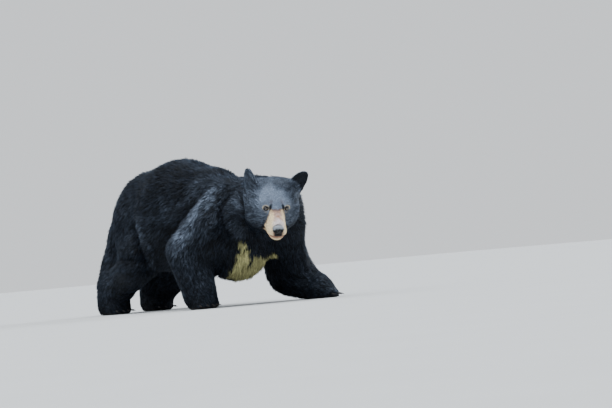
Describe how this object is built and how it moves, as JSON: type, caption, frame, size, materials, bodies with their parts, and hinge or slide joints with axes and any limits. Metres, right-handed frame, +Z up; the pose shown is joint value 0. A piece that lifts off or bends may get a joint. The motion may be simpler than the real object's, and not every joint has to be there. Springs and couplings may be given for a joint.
{
  "type": "american black bear",
  "caption": "Life-size adult black bear, standing with lowered forequarters, one foreleg reached out to the side and the head turned to face outward.",
  "frame": {"origin": "the middle of the bounding box, on the floor under the paws", "axes": "+Z up, -Y the way the trunk faces, +X the bear's left"},
  "size_m": [0.8582, 1.5348, 0.8324],
  "materials": {
    "coat": "dense near-black coat with a cool sheen",
    "muzzle": "short tan coat of the muzzle and chin",
    "nose": "moist dark nose leather",
    "eye": "glossy dark brown eye",
    "claw": "satin dark horn"
  },
  "bodies": {
    "root": {"trunk": "coat", "tail": "coat", "neck": "coat", "ear_L": "coat", "eye_L": "eye", "ear_R": "coat", "eye_R": "eye", "head": "coat", "muzzle": "muzzle", "jaw": "muzzle", "nose": "nose", "claw_fore_R_1": "claw", "claw_fore_R_2": "claw", "claw_fore_R_3": "claw", "claw_fore_R_4": "claw", "claw_fore_R_5": "claw", "fore_paw_R": "coat", "forearm_R": "coat", "upper_arm_R": "coat", "claw_fore_L_1": "claw", "claw_fore_L_2": "claw", "claw_fore_L_3": "claw", "claw_fore_L_4": "claw", "claw_fore_L_5": "claw", "fore_paw_L": "coat", "forearm_L": "coat", "upper_arm_L": "coat", "claw_hind_R_1": "claw", "claw_hind_R_2": "claw", "claw_hind_R_3": "claw", "claw_hind_R_4": "claw", "claw_hind_R_5": "claw", "hind_paw_R": "coat", "shank_R": "coat", "thigh_R": "coat", "claw_hind_L_1": "claw", "claw_hind_L_2": "claw", "claw_hind_L_3": "claw", "claw_hind_L_4": "claw", "claw_hind_L_5": "claw", "hind_paw_L": "coat", "shank_L": "coat", "thigh_L": "coat"}
  },
  "joints": []
}
